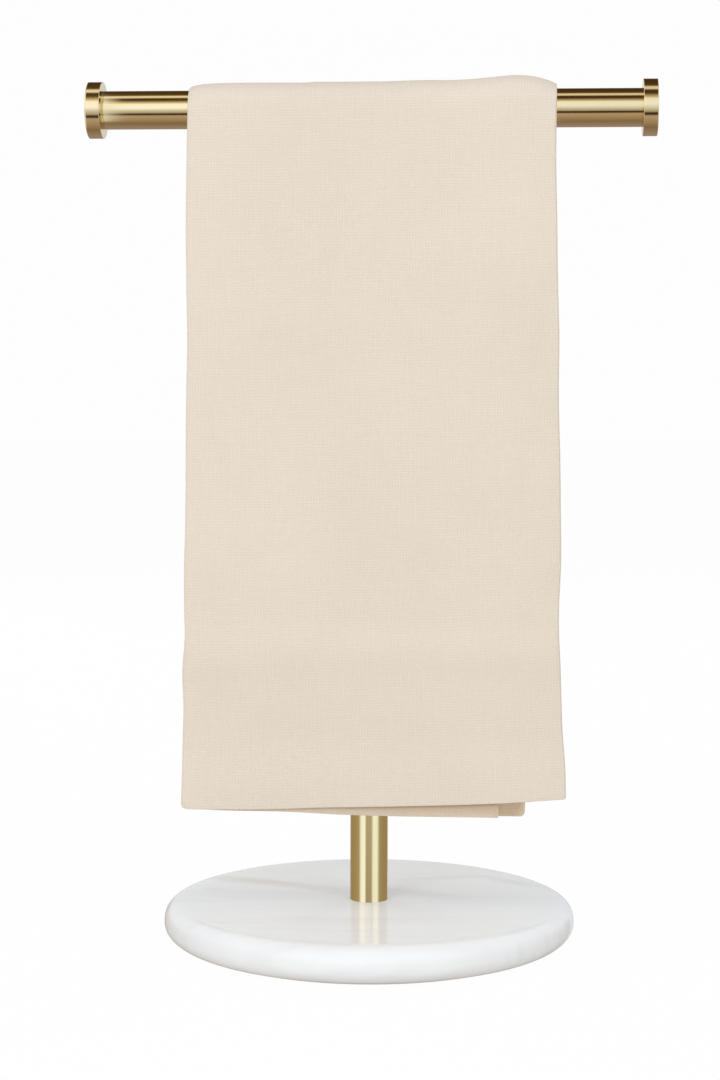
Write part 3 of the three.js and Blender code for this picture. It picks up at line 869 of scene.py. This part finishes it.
def coped_post(brass):
    """The upright: its foot's edge rounded, its top hollowed to sit round the underside of the bar."""
    saddle = TUBE_RADIUS + SADDLE_GAP
    quarter = np.linspace(0, math.pi / 2, POST_EDGE_POINTS)
    edge = [(TUBE_RADIUS - TUBE_EDGE * (1 - math.sin(a)), POST_FOOT + TUBE_EDGE * (1 - math.cos(a)))
            for a in quarter]
    hollow = [TUBE_RADIUS * math.cos(a) for a in quarter[:-1]]
    vertices = [(0, 0, POST_FOOT)]
    columns = []
    for k in range(TUBE_AROUND):
        angle = 2 * math.pi * k / TUBE_AROUND
        c = math.cos(angle)
        s = math.sin(angle)
        column = [(radius * c, radius * s, height) for radius, height in edge]
        for radius in hollow:
            top = BAR_HEIGHT - math.sqrt(max(saddle ** 2 - (radius * s) ** 2, 0))
            column.append((radius * c, radius * s, top))
        columns.append(range(len(vertices), len(vertices) + len(column)))
        vertices.extend(column)
    crown = len(vertices)
    vertices.append((0, 0, BAR_HEIGHT - saddle))
    faces = []
    for k in range(TUBE_AROUND):
        here = columns[k]
        there = columns[(k + 1) % TUBE_AROUND]
        faces.append((0, there[0], here[0]))
        for a in range(len(here) - 1):
            faces.append((here[a], there[a], there[a + 1], here[a + 1]))
        faces.append((here[-1], there[-1], crown))
    post = new_piece("post_tube", vertices, faces)
    post.data.materials.append(brass)
    return post


# ---- Towel --------------------------------------------------------------------------------------

HUMP = table(BAR_HUMP, HUMP_COLUMNS)
HEM = table(HEMS, HEM_COLUMNS)


def drape_stations():
    """The levels of the drape, from the front hem over the bar to the back hem."""
    stations = []

    def level(columns, drop, side, turn):
        read = {n: float(smooth_read(columns, "drop", n, drop)) for n in DROP_COLUMNS[1:]}
        stations.append({**read, "drop": drop, "side": side, "turn": turn})

    front = table(FRONT_DROP, DROP_COLUMNS)
    back = table(BACK_DROP, DROP_COLUMNS)
    for k in range(FRONT_ROWS + 1):
        level(front, 1 - k / FRONT_ROWS, "front", 0.0)
    for k in range(1, BAR_ROWS):
        level(front, 0.0, "over", math.pi * k / BAR_ROWS)
    for k in range(BACK_ROWS + 1):
        level(back, k / BACK_ROWS, "back", math.pi)
    return stations


def layer_offsets(station, across):
    """How far each layer lies outside the bar's surface, across one level."""
    rise = math.sin(station["turn"]) * smooth_read(HUMP, "across", "rise", across)
    step = STEP_DEPTH * smooth_step(station["middle_edge"] - across, 0, STEP_WIDTH)
    to_fold = np.minimum(across - station["left"], station["right"] - across)
    roll = EDGE_ROLL_DEPTH * (1 - np.clip(to_fold / EDGE_ROLL_WIDTH, 0, 1)) ** 2
    near_edge = smooth_step(across, station["inner_edge"] - HUMP_WIDTH_INNER, station["inner_edge"])
    return {
        "inner": INNER_OFFSET + HUMP_SHARE_INNER * near_edge * rise,
        "middle": MIDDLE_OFFSET + rise,
        "front": OUTER_OFFSET - step + rise - roll,
    }


def fold_points(centre, start, stop, direction):
    """A half turn between two layers: across and offset of the points between its ends."""
    angle = math.pi * np.arange(1, FOLD_STEPS) / FOLD_STEPS
    radius = abs(stop - start) / 2
    middle = (start + stop) / 2
    return centre + direction * radius * np.sin(angle), middle + (start - middle) * np.cos(angle)


def folded_section(station):
    """Middle line of the folded strip at one level: across, offset, place along the strip (0 to 3)."""
    half = SHEET_THICKNESS / 2
    at_left = layer_offsets(station, np.array([station["left"]]))
    at_right = layer_offsets(station, np.array([station["right"]]))
    left_inner = float(at_left["inner"][0])
    left_front = float(at_left["front"][0])
    left_centre = station["left"] + half + (left_front - left_inner) / 2
    right_centre = station["right"] - half - (float(at_right["front"][0]) - INNER_OFFSET) / 2
    parts = []

    share = np.arange(INNER_STEPS + 1) / INNER_STEPS
    x = station["inner_edge"] + (left_centre - station["inner_edge"]) * share
    parts.append((x, layer_offsets(station, x)["inner"], share))

    x, n = fold_points(left_centre, left_inner, left_front, -1)
    parts.append((x, n, np.ones_like(x)))

    share = np.arange(FRONT_STEPS + 1) / FRONT_STEPS
    x = left_centre + (right_centre - left_centre) * share
    front = layer_offsets(station, x)["front"]
    parts.append((x, front, 1 + share))

    x, n = fold_points(right_centre, float(front[-1]), INNER_OFFSET, 1)
    parts.append((x, n, np.full_like(x, 2.0)))

    # The middle layer dips inwards past the free edge of the inner one, then climbs over it.
    crest = station["inner_edge"] + EDGE_CLEARANCE
    dip = (right_centre - crest) / (right_centre - station["middle_edge"])
    top = float(layer_offsets(station, np.array([crest]))["middle"][0])
    share = np.arange(DIP_STEPS) / DIP_STEPS
    x = right_centre + (crest - right_centre) * share
    parts.append((x, INNER_OFFSET + (top - INNER_OFFSET) * smooth_step(share, 0, 1), 2 + share * dip))

    share = np.arange(MIDDLE_STEPS + 1) / MIDDLE_STEPS
    x = crest + (station["middle_edge"] - crest) * share
    parts.append((x, layer_offsets(station, x)["middle"], 2 + dip + (1 - dip) * share))
    across, offset, place = (np.concatenate(column) for column in zip(*parts))
    return across, offset, place


def cloth_outline(section, fullness):
    """Outline of the cloth round its middle line: one face, a round edge, the other face, an edge."""
    across, offset, place = section
    side = np.gradient(across)
    out = np.gradient(offset)
    length = np.hypot(side, out)
    side /= length
    out /= length
    half = SHEET_THICKNESS / 2 * fullness
    angles = np.pi * np.arange(1, EDGE_STEPS + 1) / (EDGE_STEPS + 1)
    c = np.cos(angles)
    s = np.sin(angles)
    x = np.concatenate([
        across - half * out,
        across[-1] + half * (s * side[-1] - c * out[-1]),
        (across + half * out)[::-1],
        across[0] + half * (c * out[0] - s * side[0]),
    ])
    n = np.concatenate([
        offset + half * side,
        offset[-1] + half * (c * side[-1] + s * out[-1]),
        (offset - half * side)[::-1],
        offset[0] - half * (c * side[0] + s * out[0]),
    ])
    p = np.concatenate([place, np.full(EDGE_STEPS, place[-1]), place[::-1], np.full(EDGE_STEPS, place[0])])
    return x, n, p


def corner_lift(distance, radius):
    """How much a rounded corner lifts the hem at a distance from the fold."""
    inside = np.maximum(radius - np.maximum(distance, 0), 0)
    return radius - np.sqrt(radius ** 2 - inside ** 2)


def crease_relief(side, across, height):
    """Sum of the creases of one drop at points of it, in millimetres outwards."""
    relief = np.zeros_like(across)
    for row in CREASES:
        c = dict(zip(CREASE_COLUMNS, row))
        if c["side"] != side:
            continue
        run = c["across_b"] - c["across_a"]
        rise = c["height_b"] - c["height_a"]
        length = math.hypot(run, rise)
        run /= length
        rise /= length
        along = (across - c["across_a"]) * run + (height - c["height_a"]) * rise
        beside = (height - c["height_a"]) * run - (across - c["across_a"]) * rise
        fade = smooth_step(along, -CREASE_PAST_END, CREASE_INSIDE_END)
        fade *= 1 - smooth_step(along, length - CREASE_INSIDE_END, length + CREASE_PAST_END)
        relief += c["depth"] * np.exp(-0.5 * (beside / c["width"]) ** 2) * fade
    return relief


def set_on_drape(station, outline, overhang):
    """Points of an outline set in space: down the front, over the bar or down the back."""
    x, n, p = outline
    reach = TUBE_RADIUS / MM + n + station["bow"]
    axis = BAR_HEIGHT / MM
    if station["side"] == "over":
        y = -math.cos(station["turn"]) * reach
        z = axis + math.sin(station["turn"]) * reach
        return np.stack([x, y, z], axis=1) * MM
    left_corner, right_corner = HEM_CORNERS[station["side"]]
    hem = smooth_read(HEM, "place", station["side"], p)
    hem = hem + corner_lift(x - station["left"], left_corner)
    hem = hem + corner_lift(station["right"] - x, right_corner)
    z = axis + (hem - axis) * station["drop"] - overhang
    reach = reach + crease_relief(station["side"], x, z) * smooth_step(axis - z, *CREASES_BELOW_BAR)
    y = -reach if station["side"] == "front" else reach
    return np.stack([x, y, z], axis=1) * MM


def hem_rows(count):
    """Each row of the cloth: its station, its fullness, and how far the round hem reaches past it."""
    angles = np.linspace(math.pi / 2, 0, EDGE_STEPS + 1)[1:]
    half = SHEET_THICKNESS / 2
    hem = [(max(math.sin(a), HEM_END_FULLNESS), half * math.cos(a)) for a in angles]
    rows = [(0, fullness, overhang) for fullness, overhang in reversed(hem)]
    rows += [(k, 1.0, 0.0) for k in range(count)]
    rows += [(count - 1, fullness, overhang) for fullness, overhang in hem]
    return rows


def cloth_faces(rows, around, strip):
    """Faces of the swept outline, closed along both hems. A strip is the points of one of its faces."""
    faces = []
    for row in range(rows - 1):
        here = row * around
        there = here + around
        for point in range(around):
            beside = (point + 1) % around
            faces.append((here + point, here + beside, there + beside, there + point))
    last = (rows - 1) * around
    for point in range(strip - 1):
        opposite = 2 * strip + EDGE_STEPS - 1 - point
        faces.append((point, opposite, opposite - 1, point + 1))
        faces.append((last + point, last + point + 1, last + opposite - 1, last + opposite))
    far_edge = [strip - 1 + k for k in range(EDGE_STEPS + 2)]
    near_edge = [2 * strip + EDGE_STEPS - 1 + k for k in range(EDGE_STEPS + 1)] + [0]
    for edge in (far_edge, near_edge):
        faces.append(tuple(edge[::-1]))
        faces.append(tuple(last + i for i in edge))
    return faces


def map_cloth(towel, section, rings):
    """The cloth's own map in metres: across the cut cloth, and along it."""
    across, offset, _place = section
    width = np.concatenate([[0.0], np.cumsum(np.hypot(np.diff(across), np.diff(offset)))]) * MM
    edge = np.ones(EDGE_STEPS)
    ring_u = np.concatenate([width, width[-1] * edge, width[::-1], 0 * edge])
    middle = [ring[len(width) // 2] for ring in rings]
    steps = [0.0] + [float(np.linalg.norm(b - a)) for a, b in zip(middle, middle[1:])]
    u = np.tile(ring_u, len(rings))
    v = np.repeat(np.cumsum(steps), len(ring_u))
    layer = towel.data.uv_layers.new(name="cloth")
    corner = np.empty(len(towel.data.loops), dtype=np.int32)
    towel.data.loops.foreach_get("vertex_index", corner)
    layer.data.foreach_set("uv", np.stack([u[corner], v[corner]], axis=1).ravel())


def make_towel():
    """The towel as one closed cloth, swept from hem to hem."""
    stations = drape_stations()
    sections = [folded_section(station) for station in stations]
    rings = []
    for k, fullness, overhang in hem_rows(len(stations)):
        rings.append(set_on_drape(stations[k], cloth_outline(sections[k], fullness), overhang))
    faces = cloth_faces(len(rings), len(rings[0]), len(sections[0][0]))
    towel = new_piece("towel_cloth", np.concatenate(rings), faces)
    map_cloth(towel, sections[0], rings)
    towel.data.materials.append(linen_cloth())
    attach(towel, "root")
    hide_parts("towel")


# ---- Stage, light and camera --------------------------------------------------------------------


def stage_floor():
    """A floor that is white for the camera; the light it throws back fades close to the base."""
    floor = new_piece("floor", FLOOR_CORNERS, [(0, 1, 2, 3)], smooth=False)
    made, t = material("white floor")
    axes = t.split(t.add("ShaderNodeTexCoord").outputs["Object"])
    away = t.over(t.hypotenuse(axes["X"], axes["Y"]), BASE_RADIUS)
    thrown = t.spread(away, *FLOOR_FADE, *FLOOR_THROWN, shape="SMOOTHSTEP")
    seen = t.add("ShaderNodeLightPath").outputs["Is Camera Ray"]
    shader = t.add("ShaderNodeBsdfPrincipled", {
        "Base Color": grey(FLOOR_GREY), "Roughness": 0.9, "Specular IOR Level": 0.0,
        "Emission Color": grey(1.0), "Emission Strength": t.mix(seen, thrown, FLOOR_WHITE),
    })
    finish_material(t, shader.outputs[0])
    floor.data.materials.append(made)
    floor.visible_glossy = False


def studio_light():
    """A white room for the camera, soft boxes for the light, and a plain studio for reflections."""
    world = bpy.data.worlds.new("studio")
    bpy.context.scene.world = world
    world.use_nodes = True
    t = Tree(world.node_tree)
    x, y, z = t.split(t.add("ShaderNodeTexCoord").outputs["Generated"])
    front = t.times(y, -1.0)

    # Round the bar: the angle from the front, over the top, to the back, dimmer high up at the right.
    roll = t.over(t.math("ARCTAN2", z, front), 2 * math.pi)
    bar_side = t.ramp(t.plus(roll, 0.5), [(0.5 + a / 360, c) for a, c in STUDIO_ROUND_BAR])
    dimmer = t.times(t.spread(x, *BAR_DIMMER_ACROSS), t.spread(z, *BAR_DIMMER_UP))
    round_bar = t.mix_colour(dimmer, bar_side, grey(BAR_DIMMER), "MULTIPLY")
    # Round the post: the angle away from its lit line, the same on both sides but dimmer at the right.
    off_line = t.minus(t.math("ARCTAN2", x, front), POST_LIT_LINE)
    turn = t.over(t.math("ABSOLUTE", off_line), math.pi)
    low_ring = t.ramp(turn, [(a / 180, c) for a, c in STUDIO_ROUND_POST])
    high_ring = t.ramp(turn, [(a / 180, c) for a, c in STUDIO_HIGH_RING])
    ring = t.mix_colour(t.spread(z, *HIGHER_RING), low_ring, high_ring)
    ring = t.mix_colour(t.spread(x, *RING_DIMMER_ACROSS), ring, grey(RING_DIMMER), "MULTIPLY")
    room = t.mix_colour(t.spread(t.math("ABSOLUTE", x), *BESIDE_BAR), round_bar, ring)
    # A pale wall behind, seen in the inner face of the left cap.
    at_back = t.math("GREATER_THAN", y, PALE_WALL_BACK)
    behind = t.times(at_back, t.math("GREATER_THAN", x, PALE_WALL_ACROSS))
    room = t.mix_colour(behind, room, PALE_WALL)

    path = t.add("ShaderNodeLightPath").outputs
    for_gloss = t.add("ShaderNodeBackground", {"Color": room, "Strength": 1.0})
    sky = t.spread(z, *SKY_RISE, SKY_STRENGTH, SKY_OVERHEAD)
    for_diffuse = t.add("ShaderNodeBackground", {"Color": SKY_TINT, "Strength": sky})
    for_camera = t.add("ShaderNodeBackground", {"Color": grey(ROOM_WHITE), "Strength": 1.0})
    lit = t.add("ShaderNodeMixShader", {
        0: path["Is Glossy Ray"], 1: for_diffuse.outputs[0], 2: for_gloss.outputs[0],
    })
    seen = t.add("ShaderNodeMixShader", {
        0: path["Is Camera Ray"], 1: lit.outputs[0], 2: for_camera.outputs[0],
    })
    t.add("ShaderNodeOutputWorld", {"Surface": seen.outputs[0]})
    for name, place, power in SOFT_BOXES:
        soft_box(name, place, power)


def soft_box(name, place, power):
    """A square lamp, seen neither by the camera nor in what is polished."""
    light = bpy.data.lights.new(name, "AREA")
    light.shape = "SQUARE"
    light.size = SOFT_BOX_SIZE
    light.energy = power
    light.color = SKY_TINT[:3]
    obj = bpy.data.objects.new(name, light)
    obj.location = place
    aim = Vector(SOFT_BOX_AIM) - Vector(place)
    obj.rotation_euler = aim.to_track_quat("-Z", "Y").to_euler()
    obj.visible_camera = False
    obj.visible_glossy = False
    bpy.context.scene.collection.objects.link(obj)


def front_camera():
    """The camera, in front of the towel and a little above its middle."""
    data = bpy.data.cameras.new("camera")
    data.sensor_fit = "VERTICAL"
    data.sensor_height = CAMERA_FILM
    data.lens = CAMERA_LENS
    obj = bpy.data.objects.new("camera", data)
    obj.location = CAMERA_PLACE
    obj.rotation_euler = CAMERA_TURN
    bpy.context.scene.collection.objects.link(obj)
    bpy.context.scene.camera = obj


# ---- Build --------------------------------------------------------------------------------------

stand_pieces()
make_towel()
stage_floor()
studio_light()
front_camera()
bpy.context.scene.view_settings.view_transform = "Standard"
